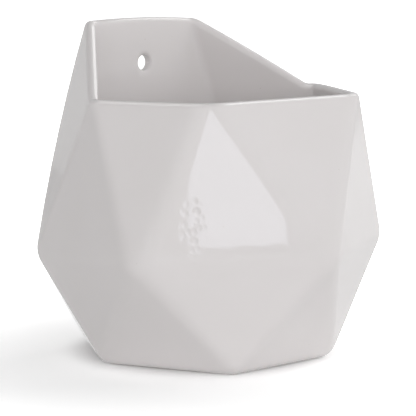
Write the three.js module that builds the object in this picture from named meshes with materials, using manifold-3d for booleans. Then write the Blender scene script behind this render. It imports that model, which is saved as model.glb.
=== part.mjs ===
// A faceted ceramic planter that hangs on a wall by a hole in its raised back.
// Millimetres, +Z up. The front faces -Y and the flat back stands on the +Y side.
// The pot is one slip-cast shell: flat facets with soft corners, an even wall, and a full-round rim.

import * as THREE from "three";
import { ConvexGeometry } from "three/addons/geometries/ConvexGeometry.js";
import { mergeVertices } from "three/addons/utils/BufferGeometryUtils.js";
import Module from "manifold-3d";

const wasm = await Module();
wasm.setup();

// Driving dimensions. X and Y are measured from the upright axis of the hexagon first,
// and the finished pot is moved to the middle of its depth at the end.
const wall = 5.3; // even wall, floor and back
const backY = 48.7; // the flat back
const rimTop = 127.3; // level rim round the front and sides
const backTop = 161.2; // top edge of the raised back, at its two corners
const backArch = 0.9; // it is this much higher in its middle
const slopeStartY = -2.8; // where the rim leaves the level and climbs to the back
const slopeEndY = 44.9; // where it reaches the back's top
const sideDip = { depth: 0.5, turn: 65, spread: 25 }; // the rim sags between its corners, degrees from the front

const girth = { height: 56.7, reach: 74.3, round: 15.8 }; // widest hexagon: corners at 0 and +-60 degrees
const girthBack = { x: 57.5, height: 52.4, round: 13.5 }; // its last two corners, on the back
const rimFront = { x: 41.3, y: -48, round: 13 };
const rimSide = { x: 65.7, y: -7.5, round: 7.7 };
const backCorner = { x: 30.3, round: 6.7 };
const baseFront = { x: 28, y: -52.3 };
const baseSide = { x: 54, y: 2.2 };
const baseBack = { x: 33 };
const baseRound = 9.2;
const backEdgeBow = 2; // the back's long edges bow outwards by this much
const backEdgeSteps = 6;

const hole = { height: 139.4, radius: 3.9, lip: 1.1 }; // hanging hole, its edges softened by the glaze

const cornerSides = 32; // steps round each rounded corner's full circle
const rimSteps = 220; // steps round the rim's bead
const beadSides = 12;
const holeSides = 40;
const lipSteps = 4;
const lidCells = 80; // cells each way of the surface that trims the wall

const glazedWhite = { colour: 0xe4e3e2, roughness: 0.12, metalness: 0 };

// The rim's crest is the middle of its bead: level at the front, a straight climb to the back
// on both sides, and level again along the back's top.
const levelCrest = rimTop - wall / 2;
const backCrest = backTop - wall / 2;
const crestSlope = (backCrest - levelCrest) / (slopeEndY - slopeStartY);

// The hand-trimmed rim is not quite straight: the back's top edge is arched a little,
// and the level rim sags a little between its front and side corners.
function crestHeight(x, y) {
  const climbed = (y - slopeStartY) / (slopeEndY - slopeStartY);
  const share = THREE.MathUtils.clamp(climbed, 0, 1);
  const arch = share * backArch * Math.max(0, 1 - (x / backCorner.x) ** 2);
  const turn = THREE.MathUtils.radToDeg(Math.atan2(Math.abs(x), slopeStartY - y));
  const offMiddle = Math.min(1, Math.abs(turn - sideDip.turn) / sideDip.spread);
  const dip = sideDip.depth * (1 - offMiddle ** 2) ** 2;
  return THREE.MathUtils.lerp(levelCrest, backCrest, share) + arch - dip;
}

// A corner is a ball that the outer skin rolls over.
function corner(x, y, z, round) {
  return { centre: new THREE.Vector3(x, y, z), round };
}

function bothSides(x, y, z, round) {
  return [corner(x, y, z, round), corner(-x, y, z, round)];
}

// Balls along one long edge of the back, from the top corner to the girth, on a shallow arch.
function bowedEdge(top, bottom) {
  const along = bottom.centre.clone().sub(top.centre);
  const outward = new THREE.Vector3(-along.z, 0, along.x).normalize();
  outward.multiplyScalar(Math.sign(outward.x * top.centre.x));
  const balls = [];
  for (let step = 1; step < backEdgeSteps; step += 1) {
    const share = step / backEdgeSteps;
    const centre = top.centre.clone().addScaledVector(along, share);
    centre.addScaledVector(outward, backEdgeBow * 4 * share * (1 - share));
    balls.push({ centre, round: THREE.MathUtils.lerp(top.round, bottom.round, share) });
  }
  return balls;
}

function potCorners() {
  const sixty = Math.PI / 3;
  const topY = backY - backCorner.round;
  const topCorners = bothSides(backCorner.x, topY, backCrest, backCorner.round);
  const girthBackY = backY - girthBack.round;
  const girthBackCorners = bothSides(girthBack.x, girthBackY, girthBack.height, girthBack.round);
  return [
    corner(0, -girth.reach, girth.height, girth.round),
    ...bothSides(Math.sin(sixty) * girth.reach, -Math.cos(sixty) * girth.reach, girth.height, girth.round),
    ...girthBackCorners,
    ...bothSides(rimFront.x, rimFront.y, levelCrest, rimFront.round),
    ...bothSides(rimSide.x, rimSide.y, levelCrest, rimSide.round),
    ...topCorners,
    ...bowedEdge(topCorners[0], girthBackCorners[0]),
    ...bowedEdge(topCorners[1], girthBackCorners[1]),
    ...bothSides(baseFront.x, baseFront.y, baseRound, baseRound),
    ...bothSides(baseSide.x, baseSide.y, baseRound, baseRound),
    ...bothSides(baseBack.x, backY - baseRound, baseRound, baseRound),
  ];
}

// The tight skin over all the corner balls, each made smaller by the inset.
// Facets span the balls, so every inset skin stays parallel to the outer one.
function skin(corners, inset) {
  const points = [];
  for (const { centre, round } of corners) {
    for (let ring = 0; ring <= cornerSides / 2; ring += 1) {
      const polar = (ring / cornerSides) * 2 * Math.PI;
      const around = ring % (cornerSides / 2) === 0 ? 1 : cornerSides;
      for (let side = 0; side < around; side += 1) {
        const turn = (side / cornerSides) * 2 * Math.PI;
        const point = new THREE.Vector3().setFromSphericalCoords(round - inset, polar, turn);
        points.push(point.add(centre));
      }
    }
  }
  return new ConvexGeometry(points);
}

function toSolid(geometry) {
  const bare = geometry.clone();
  bare.deleteAttribute("normal");
  bare.deleteAttribute("uv");
  const merged = mergeVertices(bare, 1e-4);
  const vertProperties = new Float32Array(merged.attributes.position.array);
  const triVerts = new Uint32Array(merged.index.array);
  return new wasm.Manifold(new wasm.Mesh({ numProp: 3, vertProperties, triVerts }));
}

function toGeometry(solid) {
  const { vertProperties, triVerts } = solid.getMesh();
  const geometry = new THREE.BufferGeometry();
  geometry.setAttribute("position", new THREE.BufferAttribute(vertProperties, 3));
  geometry.setIndex(new THREE.BufferAttribute(triVerts, 1));
  geometry.computeVertexNormals();
  return geometry;
}

// Everything under the crest: a block whose top follows the crest's height.
function belowCrest() {
  const reach = 150;
  const block = new THREE.BoxGeometry(2 * reach, 2 * reach, 2 * reach, lidCells, lidCells, 1);
  const places = block.attributes.position;
  for (let index = 0; index < places.count; index += 1) {
    if (places.getZ(index) > 0) {
      places.setZ(index, crestHeight(places.getX(index), places.getY(index)));
    }
  }
  return block;
}

// The crest line, found by looking outwards at the middle of the wall, from the point
// above the pot's floor where the level and the climbing parts of the crest meet.
class CrestLine extends THREE.Curve {
  constructor(middleSkin) {
    super();
    this.middle = new THREE.Mesh(middleSkin, new THREE.MeshBasicMaterial({ side: THREE.DoubleSide }));
    this.caster = new THREE.Raycaster();
    this.lookout = new THREE.Vector3(0, slopeStartY, levelCrest);
  }

  getPoint(share, target = new THREE.Vector3()) {
    const turn = share * 2 * Math.PI;
    const direction = new THREE.Vector3(Math.sin(turn), -Math.cos(turn), 0);
    direction.z = Math.max(0, direction.y) * crestSlope;
    this.caster.set(this.lookout, direction.normalize());
    const [hit] = this.caster.intersectObject(this.middle);
    return target.set(hit.point.x, hit.point.y, crestHeight(hit.point.x, hit.point.y));
  }
}

// The bead's flat sides touch the wall's two faces, so it caps the wall without a ledge.
function rimBead(corners) {
  const crest = new CrestLine(skin(corners, wall / 2));
  const beadRadius = wall / 2 / Math.cos(Math.PI / beadSides);
  return new THREE.TubeGeometry(crest, rimSteps, beadRadius, beadSides, true);
}

// Cuts the hanging hole: a round shaft that opens out in a quarter circle at both faces.
function hangingHole() {
  const past = 3;
  const front = backY - wall;
  const profile = [new THREE.Vector2(0, front - past)];
  profile.push(new THREE.Vector2(hole.radius + hole.lip, front - past));
  for (let step = 0; step <= lipSteps; step += 1) {
    const turn = (step / lipSteps) * (Math.PI / 2);
    const radius = hole.radius + hole.lip * (1 - Math.sin(turn));
    profile.push(new THREE.Vector2(radius, front + hole.lip * (1 - Math.cos(turn))));
  }
  for (let step = 0; step <= lipSteps; step += 1) {
    const turn = (step / lipSteps) * (Math.PI / 2);
    const radius = hole.radius + hole.lip * (1 - Math.cos(turn));
    profile.push(new THREE.Vector2(radius, backY - hole.lip * (1 - Math.sin(turn))));
  }
  profile.push(new THREE.Vector2(hole.radius + hole.lip, backY + past));
  profile.push(new THREE.Vector2(0, backY + past));
  const cutter = new THREE.LatheGeometry(profile, holeSides);
  return cutter.translate(0, 0, hole.height);
}

function potShell() {
  const corners = potCorners();
  const outside = toSolid(skin(corners, 0));
  const inside = toSolid(skin(corners, wall));
  const cupped = outside.subtract(inside).intersect(toSolid(belowCrest()));
  const rimmed = cupped.add(toSolid(rimBead(corners)));
  return rimmed.subtract(toSolid(hangingHole()));
}

const frontReach = girth.reach + girth.round;
const shell = toGeometry(potShell());
shell.translate(0, (frontReach - backY) / 2, 0);

const potMaterial = new THREE.MeshStandardMaterial({
  color: glazedWhite.colour,
  roughness: glazedWhite.roughness,
  metalness: glazedWhite.metalness,
});

const pot = new THREE.Mesh(shell, potMaterial);
pot.name = "planter_body";

const planter = new THREE.Group();
planter.add(pot);

export default planter;
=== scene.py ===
import math

import bpy
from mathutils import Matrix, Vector


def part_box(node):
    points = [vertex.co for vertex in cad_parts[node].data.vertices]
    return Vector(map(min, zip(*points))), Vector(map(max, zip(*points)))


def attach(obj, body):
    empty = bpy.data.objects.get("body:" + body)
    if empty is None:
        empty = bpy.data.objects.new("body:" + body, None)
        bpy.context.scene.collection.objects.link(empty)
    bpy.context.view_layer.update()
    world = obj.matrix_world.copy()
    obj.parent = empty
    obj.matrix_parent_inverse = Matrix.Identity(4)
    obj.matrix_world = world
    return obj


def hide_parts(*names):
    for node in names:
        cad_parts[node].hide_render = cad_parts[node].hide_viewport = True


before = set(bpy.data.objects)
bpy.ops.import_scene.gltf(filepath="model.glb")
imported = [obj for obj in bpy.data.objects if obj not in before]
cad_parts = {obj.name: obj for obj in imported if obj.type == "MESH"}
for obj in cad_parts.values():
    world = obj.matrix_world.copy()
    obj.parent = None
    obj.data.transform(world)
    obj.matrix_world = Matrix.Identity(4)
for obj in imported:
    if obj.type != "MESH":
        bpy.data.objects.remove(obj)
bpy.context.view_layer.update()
mm = 0.001


# Colours are written as sRGB hex and used as linear.
def colourOf(hexText):
    channels = [int(hexText[i:i + 2], 16) / 255 for i in (1, 3, 5)]
    linear = [c / 12.92 if c <= 0.04045 else ((c + 0.055) / 1.055) ** 2.4 for c in channels]
    return (*linear, 1.0)


# Adds one node: inputs are values or the sockets that feed them, the rest are its settings.
def addNode(tree, kind, inputs=None, **settings):
    node = tree.nodes.new(kind)
    for name, value in settings.items():
        setattr(node, name, value)
    for key, value in (inputs or {}).items():
        if isinstance(value, bpy.types.NodeSocket):
            tree.links.new(value, node.inputs[key])
        else:
            node.inputs[key].default_value = value
    return node


# A unit vector by compass: 0 is the front (-Y), positive turns towards +X, then up.
def compass(azimuth, elevation):
    turn, rise = math.radians(azimuth), math.radians(elevation)
    level = math.cos(rise)
    return Vector((math.sin(turn) * level, -math.cos(turn) * level, math.sin(rise)))


# The camera, at the photograph's viewing angle.
cameraView = {
    "azimuth": -41.515,     # degrees from the front, towards the pot's left
    "elevation": 7.753,
    "distance": 927.16,     # mm from the point it looks at
    "aside": 2.986,         # mm to the right of the pot's upright axis, as the camera sees it
    "height": 69.4,         # mm, square to the line of sight
    "lens": 161.97,         # mm
    "sensor": 36,           # mm wide
    "near": 0.05,           # m, the nearest and the farthest that it sees
    "far": 50,
}


def makeCamera():
    data = bpy.data.cameras.new("photoCamera")
    data.sensor_width = cameraView["sensor"]
    data.lens = cameraView["lens"]
    data.clip_start = cameraView["near"]
    data.clip_end = cameraView["far"]
    camera = bpy.data.objects.new("photoCamera", data)
    bpy.context.collection.objects.link(camera)
    towards = compass(cameraView["azimuth"], cameraView["elevation"])
    sideways = compass(cameraView["azimuth"] + 90, 0)
    upwards = towards.cross(sideways)
    place = towards * cameraView["distance"] + sideways * cameraView["aside"]
    place += upwards * cameraView["height"]
    camera.location = place * mm + Vector((0, potAxisY, 0))
    camera.rotation_euler = towards.to_track_quat("Z", "Y").to_euler()
    bpy.context.scene.camera = camera
    print("camera placed")


# The pot: a tight skin over balls at its corners, hollowed, with a full-round rim. All in
# millimetres and degrees. x and y are measured from the upright axis of the hexagon.
potShape = {
    "wall": 5.3,
    "backY": 48.7,                  # the flat back
    "rimTop": 127.3,                # the level rim round the front and sides
    "backTop": 161.2,               # the raised back, at its top corners
    "backArch": 0.9,                # the back's top edge is this much higher in its middle
    "climbStart": -2.8,             # y where the rim leaves the level
    "climbEnd": 44.9,               # and where it reaches the back's top
    "climbSoftness": 2.5,           # the trimmed rim bends into the climb over this length
    "topSoftness": 3,               # and out of it at the back's top corners
    "climbBow": 0.75,               # the right climb stands this much above a straight line
    "sideDip": 0.1,                 # the level rim sags this much on the left
    "sideDipTurn": 65,              # where it sags most, turned from the front
    "sideDipSpread": 25,            # and how far the sag reaches to each side of that
    "sideLift": 0.95,               # the level rim stands this much higher beside the right climb
    "sideLiftTurns": (36, 82),      # where that starts and is full, turned from the front
    "girthFront": {"reach": 74.3, "z": 56.7, "ball": 15.8},
    "girthBack": {"x": 57.5, "z": 52.4, "ball": 13.5},
    "rimFront": {"x": 41.3, "y": -48, "ball": 13},
    "rimSide": {"x": 65.7, "y": -7.5, "ball": 7.7},
    "backTopCorner": {"x": 30.3, "ball": 6.7},
    "baseFront": {"x": 28, "y": -52.3},
    "baseSide": {"x": 54, "y": 2.2},
    "baseBack": {"x": 33},
    "baseBall": 9.2,
    "edgeBow": 2,                   # the back's long edges bow out this much
    "edgeSteps": 6,                 # and are drawn in this many parts
    "hole": {"z": 139.4, "radius": 3.9, "lip": 1.1},
    "holePast": 0.6,                # its cutter stands this far out of both faces
    "holeSides": 64,
    "holeRings": 40,                # rings along the cutter, for its flared ends
    "core": 62,                     # height that the wall's rows fan out from
    "ballFineness": 6,              # how often each corner's ball is subdivided
    "columns": 360,                 # of the net, once round the pot
    "outsideRows": 150,
    "beadRows": 14,
    "insideRows": 100,
    "weld": 0.01,                   # points of the net this close become one
    "ripple": 0.035,                # the cast facets are this far from true
    "rippleLength": 28,             # and wave over this length
}

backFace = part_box("planter_body")[1].y              # m
potAxisY = backFace - potShape["backY"] * mm        # m, the hexagon's upright axis


# Where the balls sit, and how big each is.
def cornerBalls(shape):
    backY = shape["backY"]
    levelCrest = shape["rimTop"] - shape["wall"] / 2
    backCrest = shape["backTop"] - shape["wall"] / 2
    balls = []

    def bothSides(x, y, z, ball):
        balls.append((Vector((x, y, z)), ball))
        balls.append((Vector((-x, y, z)), ball))

    girth, girthBack = shape["girthFront"], shape["girthBack"]
    balls.append((Vector((0, -girth["reach"], girth["z"])), girth["ball"]))
    sixty = math.radians(60)
    aside, ahead = math.sin(sixty) * girth["reach"], -math.cos(sixty) * girth["reach"]
    bothSides(aside, ahead, girth["z"], girth["ball"])
    low = Vector((girthBack["x"], backY - girthBack["ball"], girthBack["z"]))
    bothSides(*low, girthBack["ball"])
    rimFront, rimSide = shape["rimFront"], shape["rimSide"]
    bothSides(rimFront["x"], rimFront["y"], levelCrest, rimFront["ball"])
    bothSides(rimSide["x"], rimSide["y"], levelCrest, rimSide["ball"])
    top = shape["backTopCorner"]
    high = Vector((top["x"], backY - top["ball"], backCrest))
    bothSides(*high, top["ball"])
    # the back's long edges, on a shallow arch from the top corner to the girth
    outward = Vector((high.z - low.z, 0, low.x - high.x)).normalized()
    for step in range(1, shape["edgeSteps"]):
        share = step / shape["edgeSteps"]
        centre = high.lerp(low, share) + outward * shape["edgeBow"] * 4 * share * (1 - share)
        bothSides(*centre, top["ball"] + (girthBack["ball"] - top["ball"]) * share)
    baseBall = shape["baseBall"]
    bothSides(shape["baseFront"]["x"], shape["baseFront"]["y"], baseBall, baseBall)
    bothSides(shape["baseSide"]["x"], shape["baseSide"]["y"], baseBall, baseBall)
    bothSides(shape["baseBack"]["x"], backY - baseBall, baseBall, baseBall)
    return balls


# A mesh of bare points, one for each ball, that carries the ball's radius.
def ballMesh(shape):
    balls = cornerBalls(shape)
    mesh = bpy.data.meshes.new("cornerBalls")
    shift = Vector((0, potAxisY, 0))
    mesh.from_pydata([centre * mm + shift for centre, ball in balls], [], [])
    radii = mesh.attributes.new("ballRadius", "FLOAT", "POINT")
    radii.data.foreach_set("value", [ball * mm for centre, ball in balls])
    return mesh


# What the pot's node tree is given, in metres and radians.
potInputs = {
    "wall": "NodeSocketFloat",
    "levelCrest": "NodeSocketFloat",
    "backCrest": "NodeSocketFloat",
    "backArch": "NodeSocketFloat",
    "archHalf": "NodeSocketFloat",
    "climbStart": "NodeSocketFloat",
    "climbEnd": "NodeSocketFloat",
    "climbSoftness": "NodeSocketFloat",
    "topSoftness": "NodeSocketFloat",
    "sideDip": "NodeSocketFloat",
    "sideDipTurn": "NodeSocketFloat",
    "sideDipSpread": "NodeSocketFloat",
    "climbBow": "NodeSocketFloat",
    "sideLift": "NodeSocketFloat",
    "liftFrom": "NodeSocketFloat",
    "liftFull": "NodeSocketFloat",
    "axisY": "NodeSocketFloat",
    "core": "NodeSocketFloat",
    "columns": "NodeSocketInt",
    "outsideRows": "NodeSocketInt",
    "beadRows": "NodeSocketInt",
    "insideRows": "NodeSocketInt",
    "ballFineness": "NodeSocketInt",
    "weld": "NodeSocketFloat",
    "backFace": "NodeSocketFloat",
    "holeHeight": "NodeSocketFloat",
    "holeRadius": "NodeSocketFloat",
    "holeLip": "NodeSocketFloat",
    "holePast": "NodeSocketFloat",
    "holeSides": "NodeSocketInt",
    "holeRings": "NodeSocketInt",
    "ripple": "NodeSocketFloat",
    "rippleLength": "NodeSocketFloat",
    "glaze": "NodeSocketMaterial",
}


# The convex skin over the balls, each made smaller by the inset.
def skinOver(tree, given, inset):
    radius = addNode(tree, "GeometryNodeInputNamedAttribute", {
        "Name": "ballRadius"}, data_type="FLOAT")
    smaller = addNode(tree, "ShaderNodeMath", {
        0: radius.outputs["Attribute"], 1: inset}, operation="SUBTRACT")
    ball = addNode(tree, "GeometryNodeMeshIcoSphere", {
        "Radius": 1.0, "Subdivisions": given["ballFineness"]})
    placed = addNode(tree, "GeometryNodeInstanceOnPoints", {
        "Points": given["Geometry"], "Instance": ball.outputs["Mesh"], "Scale": smaller.outputs[0]})
    real = addNode(tree, "GeometryNodeRealizeInstances", {"Geometry": placed.outputs[0]})
    hull = addNode(tree, "GeometryNodeConvexHull", {"Geometry": real.outputs[0]}).outputs[0]
    normal = addNode(tree, "GeometryNodeInputNormal").outputs[0]
    return addNode(tree, "GeometryNodeStoreNamedAttribute", {
        "Geometry": hull, "Name": "skinNormal", "Value": normal},
        data_type="FLOAT_VECTOR", domain="POINT").outputs[0]


# Where a ray from one point meets a skin. Its attribute is the skin's own rounded normal.
def meet(tree, skin, start, direction):
    normal = addNode(tree, "GeometryNodeInputNamedAttribute", {
        "Name": "skinNormal"}, data_type="FLOAT_VECTOR")
    return addNode(tree, "GeometryNodeRaycast", {
        "Target Geometry": skin, "Attribute": normal.outputs["Attribute"], "Source Position": start,
        "Ray Direction": direction, "Ray Length": 1.0}, data_type="FLOAT_VECTOR")


# The height of the rim's crest at a place: level, a straight climb, and level again along
# the arched top of the back. Also gives the slope of the climb there.
def crestHeight(tree, given, x, y, turn):
    run = addNode(tree, "ShaderNodeMath", {
        0: given["climbEnd"], 1: given["climbStart"]}, operation="SUBTRACT").outputs[0]
    rise = addNode(tree, "ShaderNodeMath", {
        0: given["backCrest"], 1: given["levelCrest"]}, operation="SUBTRACT").outputs[0]
    slope = addNode(tree, "ShaderNodeMath", {0: rise, 1: run}, operation="DIVIDE").outputs[0]
    past = addNode(tree, "ShaderNodeMath", {
        0: y, 1: given["climbStart"]}, operation="SUBTRACT").outputs[0]
    # beside the right climb the level is a little higher, so the climb leaves it later
    onRight = addNode(tree, "ShaderNodeMath", {
        0: turn, 1: math.pi}, operation="LESS_THAN").outputs[0]
    lift = addNode(tree, "ShaderNodeMapRange", {
        "Value": turn, "From Min": given["liftFrom"], "From Max": given["liftFull"],
        "To Max": given["sideLift"]}, interpolation_type="SMOOTHSTEP").outputs[0]
    lift = addNode(tree, "ShaderNodeMath", {0: lift, 1: onRight}, operation="MULTIPLY").outputs[0]
    late = addNode(tree, "ShaderNodeMath", {0: lift, 1: slope}, operation="DIVIDE").outputs[0]
    climbed = addNode(tree, "ShaderNodeMath", {
        0: past, 1: late, 2: given["climbSoftness"]}, operation="SMOOTH_MAX").outputs[0]
    climbed = addNode(tree, "ShaderNodeMath", {
        0: climbed, 1: run, 2: given["topSoftness"]}, operation="SMOOTH_MIN").outputs[0]
    height = addNode(tree, "ShaderNodeMath", {
        0: climbed, 1: slope, 2: given["levelCrest"]}, operation="MULTIPLY_ADD").outputs[0]
    # the back's top is arched
    share = addNode(tree, "ShaderNodeMath", {0: climbed, 1: run}, operation="DIVIDE").outputs[0]
    aside = addNode(tree, "ShaderNodeMath", {
        0: x, 1: given["archHalf"]}, operation="DIVIDE").outputs[0]
    square = addNode(tree, "ShaderNodeMath", {0: aside, 1: aside}, operation="MULTIPLY").outputs[0]
    bow = addNode(tree, "ShaderNodeMath", {
        0: 1.0, 1: square}, operation="SUBTRACT", use_clamp=True).outputs[0]
    bow = addNode(tree, "ShaderNodeMath", {0: bow, 1: share}, operation="MULTIPLY").outputs[0]
    height = addNode(tree, "ShaderNodeMath", {
        0: bow, 1: given["backArch"], 2: height}, operation="MULTIPLY_ADD").outputs[0]
    # the right climb is bowed up: the share times what is left of it is at most a quarter
    shareLeft = addNode(tree, "ShaderNodeMath", {0: 1.0, 1: share}, operation="SUBTRACT").outputs[0]
    bowed = addNode(tree, "ShaderNodeMath", {
        0: share, 1: shareLeft}, operation="MULTIPLY").outputs[0]
    bowed = addNode(tree, "ShaderNodeMath", {0: bowed, 1: onRight}, operation="MULTIPLY").outputs[0]
    most = addNode(tree, "ShaderNodeMath", {
        0: given["climbBow"], 1: 4.0}, operation="MULTIPLY").outputs[0]
    height = addNode(tree, "ShaderNodeMath", {
        0: bowed, 1: most, 2: height}, operation="MULTIPLY_ADD").outputs[0]
    # the level rim sags on the left
    turnLeft = addNode(tree, "ShaderNodeMath", {
        0: 2 * math.pi, 1: turn}, operation="SUBTRACT").outputs[0]
    offMiddle = addNode(tree, "ShaderNodeMath", {
        0: turnLeft, 1: given["sideDipTurn"]}, operation="SUBTRACT").outputs[0]
    offMiddle = addNode(tree, "ShaderNodeMath", {
        0: offMiddle, 1: given["sideDipSpread"]}, operation="DIVIDE").outputs[0]
    offSquare = addNode(tree, "ShaderNodeMath", {
        0: offMiddle, 1: offMiddle}, operation="MULTIPLY").outputs[0]
    hump = addNode(tree, "ShaderNodeMath", {
        0: 1.0, 1: offSquare}, operation="SUBTRACT", use_clamp=True).outputs[0]
    hump = addNode(tree, "ShaderNodeMath", {0: hump, 1: hump}, operation="MULTIPLY").outputs[0]
    dip = addNode(tree, "ShaderNodeMath", {
        0: hump, 1: given["sideDip"]}, operation="MULTIPLY").outputs[0]
    height = addNode(tree, "ShaderNodeMath", {0: height, 1: dip}, operation="SUBTRACT").outputs[0]
    # the crest's line tilts up over the same length as the climb begins
    before = addNode(tree, "ShaderNodeMath", {
        0: given["climbSoftness"], 1: -1.0}, operation="MULTIPLY").outputs[0]
    tilt = addNode(tree, "ShaderNodeMapRange", {
        "Value": past, "From Min": before, "From Max": given["climbSoftness"],
        "To Max": slope}).outputs[0]
    return height, tilt


# The points of the rim's bead: a half circle from the wall's outer face over the crest to its
# inner face. The crest is met from a lookout on the pot's upright axis.
def beadPoints(tree, given, middle, turn, beadShare):
    sine = addNode(tree, "ShaderNodeMath", {0: turn}, operation="SINE").outputs[0]
    cosine = addNode(tree, "ShaderNodeMath", {0: turn}, operation="COSINE").outputs[0]
    towardsBack = addNode(tree, "ShaderNodeMath", {
        0: cosine, 1: -1.0}, operation="MULTIPLY").outputs[0]
    lookout = addNode(tree, "ShaderNodeCombineXYZ", {
        1: given["climbStart"], 2: given["levelCrest"]}).outputs[0]
    level = addNode(tree, "ShaderNodeCombineXYZ", {0: sine, 1: towardsBack}).outputs[0]
    # each try aims at the crest's height where the last one met the skin
    tries = 3
    ray = level
    for attempt in range(tries):
        spot = meet(tree, middle, lookout, ray).outputs["Hit Position"]
        parts = addNode(tree, "ShaderNodeSeparateXYZ", {0: spot}).outputs
        height, tilt = crestHeight(tree, given, parts["X"], parts["Y"], turn)
        aim = addNode(tree, "ShaderNodeCombineXYZ", {
            0: parts["X"], 1: parts["Y"], 2: height}).outputs[0]
        ray = addNode(tree, "ShaderNodeVectorMath", {
            0: aim, 1: lookout}, operation="SUBTRACT").outputs[0]
    hit = meet(tree, middle, lookout, ray)
    outward = addNode(tree, "ShaderNodeVectorMath", {
        0: hit.outputs["Attribute"]}, operation="NORMALIZE").outputs[0]
    # up from the crest, square to its line and to the wall
    lean = addNode(tree, "ShaderNodeMath", {0: tilt, 1: -1.0}, operation="MULTIPLY").outputs[0]
    upward = addNode(tree, "ShaderNodeCombineXYZ", {1: lean, 2: 1.0}).outputs[0]
    along = addNode(tree, "ShaderNodeVectorMath", {
        0: upward, 1: outward}, operation="DOT_PRODUCT").outputs["Value"]
    slant = addNode(tree, "ShaderNodeVectorMath", {
        0: outward, "Scale": along}, operation="SCALE").outputs[0]
    upward = addNode(tree, "ShaderNodeVectorMath", {
        0: upward, 1: slant}, operation="SUBTRACT").outputs[0]
    upward = addNode(tree, "ShaderNodeVectorMath", {0: upward}, operation="NORMALIZE").outputs[0]
    swing = addNode(tree, "ShaderNodeMath", {
        0: beadShare, 1: math.pi}, operation="MULTIPLY").outputs[0]
    swingCos = addNode(tree, "ShaderNodeMath", {0: swing}, operation="COSINE").outputs[0]
    swingSin = addNode(tree, "ShaderNodeMath", {0: swing}, operation="SINE").outputs[0]
    sideways = addNode(tree, "ShaderNodeVectorMath", {
        0: outward, "Scale": swingCos}, operation="SCALE").outputs[0]
    upwards = addNode(tree, "ShaderNodeVectorMath", {
        0: upward, "Scale": swingSin}, operation="SCALE").outputs[0]
    swung = addNode(tree, "ShaderNodeVectorMath", {
        0: sideways, 1: upwards}, operation="ADD").outputs[0]
    halfWall = addNode(tree, "ShaderNodeMath", {
        0: given["wall"], 1: 0.5}, operation="MULTIPLY").outputs[0]
    offset = addNode(tree, "ShaderNodeVectorMath", {
        0: swung, "Scale": halfWall}, operation="SCALE").outputs[0]
    return addNode(tree, "ShaderNodeVectorMath", {
        0: hit.outputs["Hit Position"], 1: offset}, operation="ADD").outputs[0]


# The points of the wall and floor: rows fan out from the core, from straight down to the bead.
def wallPoints(tree, given, outside, inside, beadPoint, wallShare, isOutside):
    core = addNode(tree, "ShaderNodeCombineXYZ", {1: given["axisY"], 2: given["core"]}).outputs[0]
    reach = addNode(tree, "ShaderNodeVectorMath", {
        0: beadPoint, 1: core}, operation="SUBTRACT").outputs[0]
    flat = addNode(tree, "ShaderNodeVectorMath", {
        0: reach, 1: (1.0, 1.0, 0.0)}, operation="MULTIPLY").outputs[0]
    flatLength = addNode(tree, "ShaderNodeVectorMath", {
        0: flat}, operation="LENGTH").outputs["Value"]
    heading = addNode(tree, "ShaderNodeVectorMath", {0: flat}, operation="NORMALIZE").outputs[0]
    parts = addNode(tree, "ShaderNodeSeparateXYZ", {0: reach})
    lastRise = addNode(tree, "ShaderNodeMath", {
        0: parts.outputs["Z"], 1: flatLength}, operation="ARCTAN2").outputs[0]
    fan = addNode(tree, "ShaderNodeMath", {0: lastRise, 1: math.pi / 2}, operation="ADD").outputs[0]
    rise = addNode(tree, "ShaderNodeMath", {
        0: fan, 1: wallShare, 2: -math.pi / 2}, operation="MULTIPLY_ADD").outputs[0]
    riseCos = addNode(tree, "ShaderNodeMath", {0: rise}, operation="COSINE").outputs[0]
    riseSin = addNode(tree, "ShaderNodeMath", {0: rise}, operation="SINE").outputs[0]
    level = addNode(tree, "ShaderNodeVectorMath", {
        0: heading, "Scale": riseCos}, operation="SCALE").outputs[0]
    upright = addNode(tree, "ShaderNodeCombineXYZ", {2: riseSin}).outputs[0]
    ray = addNode(tree, "ShaderNodeVectorMath", {0: level, 1: upright}, operation="ADD").outputs[0]
    outer = meet(tree, outside, core, ray).outputs["Hit Position"]
    inner = meet(tree, inside, core, ray).outputs["Hit Position"]
    return addNode(tree, "GeometryNodeSwitch", {
        "Switch": isOutside, "False": inner, "True": outer}, input_type="VECTOR").outputs[0]


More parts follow.
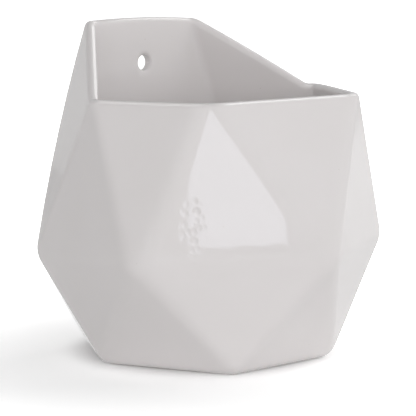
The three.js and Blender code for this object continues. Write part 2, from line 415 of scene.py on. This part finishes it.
# The cutter of the hanging hole: a round bar that flares in a quarter circle at both faces.
def holeCutter(tree, given):
    length = addNode(tree, "ShaderNodeMath", {
        0: given["holePast"], 1: 2.0, 2: given["wall"]}, operation="MULTIPLY_ADD").outputs[0]
    bar = addNode(tree, "GeometryNodeMeshCylinder", {
        "Vertices": given["holeSides"], "Side Segments": given["holeRings"],
        "Radius": 1.0, "Depth": length}, fill_type="TRIANGLE_FAN")
    place = addNode(tree, "GeometryNodeInputPosition").outputs[0]
    parts = addNode(tree, "ShaderNodeSeparateXYZ", {0: place})
    depth = addNode(tree, "ShaderNodeMath", {
        0: parts.outputs["Z"]}, operation="ABSOLUTE").outputs[0]
    halfWall = addNode(tree, "ShaderNodeMath", {
        0: given["wall"], 1: 0.5}, operation="MULTIPLY").outputs[0]
    plainHalf = addNode(tree, "ShaderNodeMath", {
        0: halfWall, 1: given["holeLip"]}, operation="SUBTRACT").outputs[0]
    intoLip = addNode(tree, "ShaderNodeMapRange", {
        "Value": depth, "From Min": plainHalf, "From Max": halfWall}).outputs[0]
    square = addNode(tree, "ShaderNodeMath", {
        0: intoLip, 1: intoLip}, operation="MULTIPLY").outputs[0]
    left = addNode(tree, "ShaderNodeMath", {0: 1.0, 1: square}, operation="SUBTRACT").outputs[0]
    cosine = addNode(tree, "ShaderNodeMath", {0: left}, operation="SQRT").outputs[0]
    flare = addNode(tree, "ShaderNodeMath", {0: 1.0, 1: cosine}, operation="SUBTRACT").outputs[0]
    radius = addNode(tree, "ShaderNodeMath", {
        0: flare, 1: given["holeLip"], 2: given["holeRadius"]}, operation="MULTIPLY_ADD").outputs[0]
    x = addNode(tree, "ShaderNodeMath", {
        0: parts.outputs["X"], 1: radius}, operation="MULTIPLY").outputs[0]
    y = addNode(tree, "ShaderNodeMath", {
        0: parts.outputs["Y"], 1: radius}, operation="MULTIPLY").outputs[0]
    flared = addNode(tree, "ShaderNodeCombineXYZ", {0: x, 1: y, 2: parts.outputs["Z"]}).outputs[0]
    shaped = addNode(tree, "GeometryNodeSetPosition", {
        "Geometry": bar.outputs["Mesh"], "Position": flared}).outputs[0]
    middle = addNode(tree, "ShaderNodeMath", {
        0: given["backFace"], 1: halfWall}, operation="SUBTRACT").outputs[0]
    spot = addNode(tree, "ShaderNodeCombineXYZ", {1: middle, 2: given["holeHeight"]}).outputs[0]
    return addNode(tree, "GeometryNodeTransform", {
        "Geometry": shaped, "Translation": spot, "Rotation": (math.pi / 2, 0.0, 0.0)}).outputs[0]


# Turns the bare points into the pot.
def facetedPotTree():
    tree = bpy.data.node_groups.new("softFacetedPot", "GeometryNodeTree")
    tree.interface.new_socket("Geometry", in_out="INPUT", socket_type="NodeSocketGeometry")
    for name, kind in potInputs.items():
        tree.interface.new_socket(name, in_out="INPUT", socket_type=kind)
    tree.interface.new_socket("Geometry", in_out="OUTPUT", socket_type="NodeSocketGeometry")
    given = addNode(tree, "NodeGroupInput").outputs
    outside = skinOver(tree, given, 0.0)
    inside = skinOver(tree, given, given["wall"])
    halfWall = addNode(tree, "ShaderNodeMath", {
        0: given["wall"], 1: 0.5}, operation="MULTIPLY").outputs[0]
    middle = skinOver(tree, given, halfWall)

    # a square net: across is once round the pot, and up is from the middle of the underside
    # over the outside wall, the bead and the inside wall to the middle of the floor
    rows = addNode(tree, "ShaderNodeMath", {
        0: given["outsideRows"], 1: given["beadRows"]}, operation="ADD").outputs[0]
    allRows = addNode(tree, "ShaderNodeMath", {
        0: rows, 1: given["insideRows"]}, operation="ADD").outputs[0]
    netColumns = addNode(tree, "ShaderNodeMath", {
        0: given["columns"], 1: 1.0}, operation="ADD").outputs[0]
    netRows = addNode(tree, "ShaderNodeMath", {0: allRows, 1: 1.0}, operation="ADD").outputs[0]
    net = addNode(tree, "GeometryNodeMeshGrid", {
        "Size X": 1.0, "Size Y": 1.0, "Vertices X": netColumns, "Vertices Y": netRows})
    onNet = addNode(tree, "GeometryNodeInputPosition").outputs[0]
    spot = addNode(tree, "ShaderNodeSeparateXYZ", {0: onNet})
    turn = addNode(tree, "ShaderNodeMath", {
        0: spot.outputs["X"], 1: 2 * math.pi, 2: math.pi}, operation="MULTIPLY_ADD").outputs[0]
    along = addNode(tree, "ShaderNodeMath", {
        0: spot.outputs["Y"], 1: 0.5}, operation="ADD").outputs[0]
    row = addNode(tree, "ShaderNodeMath", {0: along, 1: allRows}, operation="MULTIPLY").outputs[0]
    beadShare = addNode(tree, "ShaderNodeMapRange", {
        "Value": row, "From Min": given["outsideRows"], "From Max": rows}).outputs[0]
    upOutside = addNode(tree, "ShaderNodeMath", {
        0: row, 1: given["outsideRows"]}, operation="DIVIDE").outputs[0]
    rowsLeft = addNode(tree, "ShaderNodeMath", {
        0: allRows, 1: row}, operation="SUBTRACT").outputs[0]
    downInside = addNode(tree, "ShaderNodeMath", {
        0: rowsLeft, 1: given["insideRows"]}, operation="DIVIDE").outputs[0]
    wallShare = addNode(tree, "ShaderNodeMath", {
        0: upOutside, 1: downInside}, operation="MINIMUM").outputs[0]
    wallShare = addNode(tree, "ShaderNodeMath", {
        0: wallShare, 1: 1.0}, operation="MINIMUM").outputs[0]
    isOutside = addNode(tree, "FunctionNodeCompare", {
        "A": row, "B": rows}, data_type="FLOAT", operation="LESS_THAN").outputs[0]
    nearlyAll = 0.9999      # of the wall's rows, as the share is rounded
    onBead = addNode(tree, "FunctionNodeCompare", {
        "A": wallShare, "B": nearlyAll}, data_type="FLOAT", operation="GREATER_THAN").outputs[0]

    beadPoint = beadPoints(tree, given, middle, turn, beadShare)
    wallPoint = wallPoints(tree, given, outside, inside, beadPoint, wallShare, isOutside)
    place = addNode(tree, "GeometryNodeSwitch", {
        "Switch": onBead, "False": wallPoint, "True": beadPoint}, input_type="VECTOR").outputs[0]
    draped = addNode(tree, "GeometryNodeSetPosition", {
        "Geometry": net.outputs["Mesh"], "Position": place}).outputs[0]
    closed = addNode(tree, "GeometryNodeMergeByDistance", {
        "Geometry": draped, "Distance": given["weld"]}).outputs[0]

    # a casting is never quite true: long, very low waves in every face
    waveScale = addNode(tree, "ShaderNodeMath", {
        0: 1.0, 1: given["rippleLength"]}, operation="DIVIDE").outputs[0]
    where = addNode(tree, "GeometryNodeInputPosition").outputs[0]
    wave = addNode(tree, "ShaderNodeTexNoise", {
        "Vector": where, "Scale": waveScale, "Detail": 1.0}).outputs[0]
    wave = addNode(tree, "ShaderNodeMath", {0: wave, 1: 0.5}, operation="SUBTRACT").outputs[0]
    wave = addNode(tree, "ShaderNodeMath", {
        0: wave, 1: given["ripple"]}, operation="MULTIPLY").outputs[0]
    normal = addNode(tree, "GeometryNodeInputNormal").outputs[0]
    push = addNode(tree, "ShaderNodeVectorMath", {
        0: normal, "Scale": wave}, operation="SCALE").outputs[0]
    waved = addNode(tree, "GeometryNodeSetPosition", {
        "Geometry": closed, "Offset": push}).outputs[0]

    cut = addNode(tree, "GeometryNodeMeshBoolean", operation="DIFFERENCE", solver="EXACT")
    tree.links.new(waved, cut.inputs["Mesh 1"])
    tree.links.new(holeCutter(tree, given), cut.inputs["Mesh 2"])
    smooth = addNode(tree, "GeometryNodeSetShadeSmooth", {0: cut.outputs["Mesh"]}).outputs[0]
    real = addNode(tree, "GeometryNodeRealizeInstances", {"Geometry": smooth}).outputs[0]
    dressed = addNode(tree, "GeometryNodeSetMaterial", {
        "Geometry": real, "Material": given["glaze"]}).outputs[0]
    addNode(tree, "NodeGroupOutput", {"Geometry": dressed})
    return tree


# The finished mesh takes the place of the bare points that the tree starts from.
def makePot(glaze):
    shape = potShape
    piece = bpy.data.objects.new("glazedPot", ballMesh(shape))
    bpy.context.collection.objects.link(piece)
    modifier = piece.modifiers.new("softFacetedPot", "NODES")
    modifier.node_group = facetedPotTree()
    values = {
        "wall": shape["wall"] * mm,
        "levelCrest": (shape["rimTop"] - shape["wall"] / 2) * mm,
        "backCrest": (shape["backTop"] - shape["wall"] / 2) * mm,
        "backArch": shape["backArch"] * mm,
        "archHalf": shape["backTopCorner"]["x"] * mm,
        "climbStart": shape["climbStart"] * mm + potAxisY,
        "climbEnd": shape["climbEnd"] * mm + potAxisY,
        "climbSoftness": shape["climbSoftness"] * mm,
        "topSoftness": shape["topSoftness"] * mm,
        "sideDip": shape["sideDip"] * mm,
        "sideDipTurn": math.radians(shape["sideDipTurn"]),
        "sideDipSpread": math.radians(shape["sideDipSpread"]),
        "climbBow": shape["climbBow"] * mm,
        "sideLift": shape["sideLift"] * mm,
        "liftFrom": math.radians(shape["sideLiftTurns"][0]),
        "liftFull": math.radians(shape["sideLiftTurns"][1]),
        "axisY": potAxisY,
        "core": shape["core"] * mm,
        "columns": shape["columns"],
        "outsideRows": shape["outsideRows"],
        "beadRows": shape["beadRows"],
        "insideRows": shape["insideRows"],
        "ballFineness": shape["ballFineness"],
        "weld": shape["weld"] * mm,
        "backFace": backFace,
        "holeHeight": shape["hole"]["z"] * mm,
        "holeRadius": shape["hole"]["radius"] * mm,
        "holeLip": shape["hole"]["lip"] * mm,
        "holePast": shape["holePast"] * mm,
        "holeSides": shape["holeSides"],
        "holeRings": shape["holeRings"],
        "ripple": shape["ripple"] * mm,
        "rippleLength": shape["rippleLength"] * mm,
        "glaze": glaze,
    }
    for socket in modifier.node_group.interface.items_tree:
        if socket.in_out == "INPUT" and socket.name in values:
            modifier[socket.identifier] = values[socket.name]
    evaluated = piece.evaluated_get(bpy.context.evaluated_depsgraph_get())
    finished = bpy.data.meshes.new_from_object(evaluated)
    piece.modifiers.remove(modifier)
    piece.data = finished
    finished.name = "glazedPot"
    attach(piece, "root")
    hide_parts("planter_body")
    print("pot made:", len(finished.polygons), "faces")


# The glaze. Lengths are in millimetres.
glazeLook = {
    "white": "#E5E1E1",
    "thinWhite": "#E1DDDC",         # where the dipped glaze lies thinner
    "cloud": 35,                    # size of its thick and thin places
    "roughness": 0.02,
    "refraction": 1.5,
    "wave": 11,                     # length of the slow waves left by the dip
    "waveDepth": 0.012,
    "peel": 1.6,                    # fine orange peel; real ones are about half of this
    "peelDepth": 0.0004,
    "pinholeGap": 9,                # between the places where a gas bubble may have burst
    "pinholeShare": 0.35,           # how many of them did
    "pinhole": 0.33,                # radius
    "pinholeFlat": 0.45,            # share of that radius that is flat at the bottom
    "pinholeDepth": 0.03,
    "pinholeTone": "#CFC9C3",
    "crawl": (-56.5, -58.5, 72),    # from the pot's axis: a patch that wrinkled in the kiln
    "crawlStretch": (1, 1, 0.45),   # it is longer from top to bottom
    "crawlReach": (4, 7),           # full inside the first, gone at the second
    "crawlGap": 3.4,                # between its dents
    "crawlDent": 2.3,               # their radius
    "crawlFlat": 0.17,              # radius of their flat bottom
    "crawlDepth": 0.11,
    "bare": "#D9CFC3",              # the foot is wiped clean of glaze before firing
    "bareRoughness": 0.75,
    "bareReach": (0.175, 0.35),     # bare under the first height, glazed above the second
}


# Slip-cast stoneware, dipped in a glossy white glaze: a glassy skin over a warm white body,
# slightly wavy, with a few pinholes and one wrinkled patch, and a dry matte foot.
def glossyWhiteGlaze():
    look = glazeLook
    material = bpy.data.materials.new("glossyWhiteGlazeOnSlipCast")
    material.use_nodes = True
    tree = material.node_tree
    tree.nodes.clear()
    place = addNode(tree, "ShaderNodeTexCoord").outputs["Object"]

    # thick and thin glaze
    cloud = addNode(tree, "ShaderNodeTexNoise", {
        "Vector": place, "Scale": 1 / (look["cloud"] * mm), "Detail": 2.0}).outputs[0]
    tone = addNode(tree, "ShaderNodeMix", {
        "Factor": cloud, "A": colourOf(look["white"]), "B": colourOf(look["thinWhite"])},
        data_type="RGBA").outputs["Result"]

    # pinholes: some of the cells have one at their point
    cells = addNode(tree, "ShaderNodeTexVoronoi", {
        "Vector": place, "Scale": 1 / (look["pinholeGap"] * mm)}).outputs
    radius = look["pinhole"] / look["pinholeGap"]
    inside = addNode(tree, "ShaderNodeMapRange", {
        "Value": cells["Distance"], "From Min": radius, "From Max": radius * look["pinholeFlat"]},
        interpolation_type="SMOOTHSTEP")
    luck = addNode(tree, "ShaderNodeSeparateColor", {0: cells["Color"]}).outputs[0]
    burst = addNode(tree, "ShaderNodeMath", {
        0: luck, 1: look["pinholeShare"]}, operation="LESS_THAN").outputs[0]
    pit = addNode(tree, "ShaderNodeMath", {
        0: inside.outputs[0], 1: burst}, operation="MULTIPLY").outputs[0]
    tone = addNode(tree, "ShaderNodeMix", {
        "Factor": pit, "A": tone, "B": colourOf(look["pinholeTone"])},
        data_type="RGBA").outputs["Result"]

    # the dry foot
    height = addNode(tree, "ShaderNodeSeparateXYZ", {0: place}).outputs["Z"]
    bare = addNode(tree, "ShaderNodeMapRange", {
        "Value": height, "From Min": look["bareReach"][1] * mm,
        "From Max": look["bareReach"][0] * mm}).outputs[0]
    tone = addNode(tree, "ShaderNodeMix", {
        "Factor": bare, "A": tone, "B": colourOf(look["bare"])}, data_type="RGBA").outputs["Result"]
    roughness = addNode(tree, "ShaderNodeMapRange", {
        "Value": bare, "To Min": look["roughness"], "To Max": look["bareRoughness"]}).outputs[0]

    # the glaze's own relief in metres: waves, orange peel, pinholes and the wrinkled patch
    wave = addNode(tree, "ShaderNodeTexNoise", {
        "Vector": place, "Scale": 1 / (look["wave"] * mm), "Detail": 0.0}).outputs[0]
    relief = addNode(tree, "ShaderNodeMath", {
        0: wave, 1: look["waveDepth"] * mm}, operation="MULTIPLY").outputs[0]
    peel = addNode(tree, "ShaderNodeTexNoise", {
        "Vector": place, "Scale": 1 / (look["peel"] * mm), "Detail": 1.0}).outputs[0]
    relief = addNode(tree, "ShaderNodeMath", {
        0: peel, 1: look["peelDepth"] * mm, 2: relief}, operation="MULTIPLY_ADD").outputs[0]
    relief = addNode(tree, "ShaderNodeMath", {
        0: pit, 1: -look["pinholeDepth"] * mm, 2: relief}, operation="MULTIPLY_ADD").outputs[0]
    crawlSpot = Vector(look["crawl"]) * mm + Vector((0, potAxisY, 0))
    away = addNode(tree, "ShaderNodeVectorMath", {
        0: place, 1: crawlSpot}, operation="SUBTRACT").outputs[0]
    away = addNode(tree, "ShaderNodeVectorMath", {
        0: away, 1: look["crawlStretch"]}, operation="MULTIPLY").outputs[0]
    away = addNode(tree, "ShaderNodeVectorMath", {0: away}, operation="LENGTH").outputs["Value"]
    crawled = addNode(tree, "ShaderNodeMapRange", {
        "Value": away, "From Min": look["crawlReach"][1] * mm,
        "From Max": look["crawlReach"][0] * mm}, interpolation_type="SMOOTHSTEP").outputs[0]
    dents = addNode(tree, "ShaderNodeTexVoronoi", {
        "Vector": place, "Scale": 1 / (look["crawlGap"] * mm)}).outputs["Distance"]
    wrinkle = addNode(tree, "ShaderNodeMapRange", {
        "Value": dents, "From Min": look["crawlDent"] / look["crawlGap"],
        "From Max": look["crawlFlat"] / look["crawlGap"]},
        interpolation_type="SMOOTHSTEP").outputs[0]
    wrinkle = addNode(tree, "ShaderNodeMath", {
        0: wrinkle, 1: crawled}, operation="MULTIPLY").outputs[0]
    relief = addNode(tree, "ShaderNodeMath", {
        0: wrinkle, 1: -look["crawlDepth"] * mm, 2: relief}, operation="MULTIPLY_ADD").outputs[0]
    bump = addNode(tree, "ShaderNodeBump", {
        "Strength": 1.0, "Distance": 1.0, "Height": relief}).outputs[0]

    shader = addNode(tree, "ShaderNodeBsdfPrincipled", {
        "Base Color": tone, "Roughness": roughness, "IOR": look["refraction"], "Normal": bump})
    addNode(tree, "ShaderNodeOutputMaterial", {"Surface": shader.outputs[0]})
    return material


# Floor, backdrop and light. The lamps are in metres and degrees.
studio = {
    "floor": "#F4F4F4",
    "floorReach": 8,            # m to each side
    "nearGlow": 0.41,           # seen on top of the lit floor, so that the open floor is white
    "farGlow": 1.0,
    "glowReach": (75, 260),     # mm from the middle: the near glow turns into the far one
    # painted contact shadow: under the pot's edge the floor's glow falls to this, so the floor
    # there is darker than its light makes it
    "paintedShadowGlow": 0.05,          # under the pot's edge, where its contact shadow is
    "paintedShadowReach": (50, 72),     # mm from the pot's axis: the under glow turns into the near one
    "glossGlow": 0.35,          # what the glaze mirrors on top of the lit floor
    "horizon": 1.23,            # light from all round, strongest near the floor
    "overhead": 0.05,
    "bands": (0.15, 0.85),      # height of its direction: the horizon's turns into the overhead's
    "aim": 0.07,                # height of the point that the lamps are turned to
    "lampDistance": 2.0,        # from that point
    # the gloss leaves these out, as they would show in it as bright lines in the creases
    "sheets": {
        "leftSheet": {"azimuth": -60, "elevation": 16, "size": (1.6, 1.0), "radiance": 0.89},
        "frontSheet": {"azimuth": -20, "elevation": 16, "size": (1.6, 1.0), "radiance": 1.82},
        "rightSheet": {"azimuth": 78, "elevation": 40, "size": (1.6, 1.6), "radiance": 1.81},
    },
    # and these show only in the gloss, as the bright lines in the rounded rim
    "cards": {
        "rearRightCard": {"azimuth": 107, "elevation": 30, "size": (0.45, 0.75), "radiance": 1.6},
        "rightCard": {"azimuth": 88, "elevation": 49, "size": (1.1, 0.4), "radiance": 3.0},
        "topCard": {"azimuth": -125, "elevation": 70, "size": (1.3, 1.3), "radiance": 3.2},
    },
}


# 1 for what is mirrored or seen through something clear, and 0 otherwise.
def seenInGloss(tree):
    path = addNode(tree, "ShaderNodeLightPath").outputs
    return addNode(tree, "ShaderNodeMath", {
        0: path["Is Glossy Ray"], 1: path["Is Transmission Ray"]},
        operation="ADD", use_clamp=True).outputs[0]


def makeFloor():
    mesh = bpy.data.meshes.new("floor")
    reach = studio["floorReach"]
    corners = [(-reach, -reach, 0), (reach, -reach, 0), (reach, reach, 0), (-reach, reach, 0)]
    mesh.from_pydata(corners, [], [(0, 1, 2, 3)])
    floor = bpy.data.objects.new("floor", mesh)
    bpy.context.collection.objects.link(floor)
    material = bpy.data.materials.new("matteWhitePaper")
    material.use_nodes = True
    tree = material.node_tree
    tree.nodes.clear()
    diffuse = addNode(tree, "ShaderNodeBsdfDiffuse", {
        "Color": colourOf(studio["floor"])}).outputs[0]
    place = addNode(tree, "ShaderNodeTexCoord").outputs["Object"]
    away = addNode(tree, "ShaderNodeVectorMath", {0: place}, operation="LENGTH").outputs["Value"]
    glowHere = addNode(tree, "ShaderNodeMapRange", {
        "Value": away, "From Min": studio["glowReach"][0] * mm,
        "From Max": studio["glowReach"][1] * mm,
        "To Min": studio["nearGlow"], "To Max": studio["farGlow"]},
        interpolation_type="SMOOTHSTEP").outputs[0]
    axis = addNode(tree, "ShaderNodeVectorMath", {
        0: place, 1: (0.0, -potAxisY, 0.0)}, operation="ADD").outputs[0]
    fromAxis = addNode(tree, "ShaderNodeVectorMath", {0: axis}, operation="LENGTH").outputs["Value"]
    # painted contact shadow: the glow falls away in a ring round the pot's foot, darkening the
    # floor there on top of its lit shade
    paintedShadowDip = addNode(tree, "ShaderNodeMapRange", {
        "Value": fromAxis, "From Min": studio["paintedShadowReach"][0] * mm,
        "From Max": studio["paintedShadowReach"][1] * mm,
        "To Min": studio["paintedShadowGlow"] - studio["nearGlow"], "To Max": 0.0},
        interpolation_type="SMOOTHSTEP").outputs[0]
    glowHere = addNode(tree, "ShaderNodeMath", {
        0: glowHere, 1: paintedShadowDip}, operation="ADD").outputs[0]
    straight = addNode(tree, "ShaderNodeLightPath").outputs["Is Camera Ray"]
    eyeGlow = addNode(tree, "ShaderNodeMath", {
        0: straight, 1: glowHere}, operation="MULTIPLY").outputs[0]
    strength = addNode(tree, "ShaderNodeMath", {
        0: seenInGloss(tree), 1: studio["glossGlow"], 2: eyeGlow},
        operation="MULTIPLY_ADD").outputs[0]
    glow = addNode(tree, "ShaderNodeEmission", {"Strength": strength}).outputs[0]
    both = addNode(tree, "ShaderNodeAddShader", {0: diffuse, 1: glow}).outputs[0]
    addNode(tree, "ShaderNodeOutputMaterial", {"Surface": both})
    mesh.materials.append(material)
    print("floor laid")


def makeWorld():
    world = bpy.data.worlds.new("studioWorld")
    world.use_nodes = True
    tree = world.node_tree
    tree.nodes.clear()
    direction = addNode(tree, "ShaderNodeTexCoord").outputs["Generated"]
    height = addNode(tree, "ShaderNodeSeparateXYZ", {0: direction}).outputs["Z"]
    allRound = addNode(tree, "ShaderNodeMapRange", {
        "Value": height, "From Min": studio["bands"][0], "From Max": studio["bands"][1],
        "To Min": studio["horizon"], "To Max": studio["overhead"]},
        interpolation_type="SMOOTHSTEP").outputs[0]
    straight = addNode(tree, "ShaderNodeLightPath").outputs["Is Camera Ray"]
    seen = addNode(tree, "ShaderNodeMath", {
        0: straight, 1: seenInGloss(tree)}, operation="ADD", use_clamp=True).outputs[0]
    strength = addNode(tree, "ShaderNodeMix", {
        0: seen, 2: allRound, 3: 1.0}, data_type="FLOAT").outputs[0]
    light = addNode(tree, "ShaderNodeBackground", {"Strength": strength}).outputs[0]
    addNode(tree, "ShaderNodeOutputWorld", {"Surface": light})
    bpy.context.scene.world = world
    print("backdrop lit")


def makeLamp(name, place, towards, size, radiance):
    data = bpy.data.lights.new(name, "AREA")
    data.shape = "RECTANGLE"
    data.size, data.size_y = size
    data.energy = radiance * math.pi * data.size * data.size_y
    light = bpy.data.objects.new(name, data)
    bpy.context.collection.objects.link(light)
    light.location = place
    light.rotation_euler = towards.to_track_quat("Z", "Y").to_euler()
    light.visible_camera = False
    return light


# The bright patch on the pot is a tall window, mirrored by the facet between the front's
# left corner and the girth. It hangs where that facet sends the camera's line of sight.
window = {
    "patch": (-30, 4.15),       # compass of the facet
    "spot": (-37, -68, 88),     # mm, a place on the facet, from the pot's upright axis
    "distance": 1300,           # mm from the spot
    "size": (117, 262),         # mm
    "aside": -2,                # mm that it hangs to the right, and up, of the mirrored line
    "raise": 68,
    "radiance": 2.5,
    "colour": "#F0F4FF",        # daylight, a little bluer than the lamps
}


def makeLamps():
    middle = Vector((0, potAxisY, studio["aim"]))
    for kind in ("sheets", "cards"):
        for name, lamp in studio[kind].items():
            towards = compass(lamp["azimuth"], lamp["elevation"])
            place = middle + towards * studio["lampDistance"]
            light = makeLamp(name, place, towards, lamp["size"], lamp["radiance"])
            light.visible_glossy = kind == "cards"
            light.visible_diffuse = kind == "sheets"
    normal = compass(*window["patch"])
    spot = Vector(window["spot"]) * mm + Vector((0, potAxisY, 0))
    sight = (spot - bpy.context.scene.camera.location).normalized()
    mirrored = sight.reflect(normal)
    sideways = Vector((0, 0, 1)).cross(mirrored).normalized()
    upwards = mirrored.cross(sideways)
    offset = mirrored * window["distance"] + sideways * window["aside"]
    offset += upwards * window["raise"]
    place = spot + offset * mm
    size = [side * mm for side in window["size"]]
    daylight = makeLamp("window", place, mirrored, size, window["radiance"])
    daylight.data.color = colourOf(window["colour"])[:3]
    print("studio lit")


makeCamera()
makePot(glossyWhiteGlaze())
makeFloor()
makeWorld()
makeLamps()
bpy.context.scene.view_settings.view_transform = "Standard"
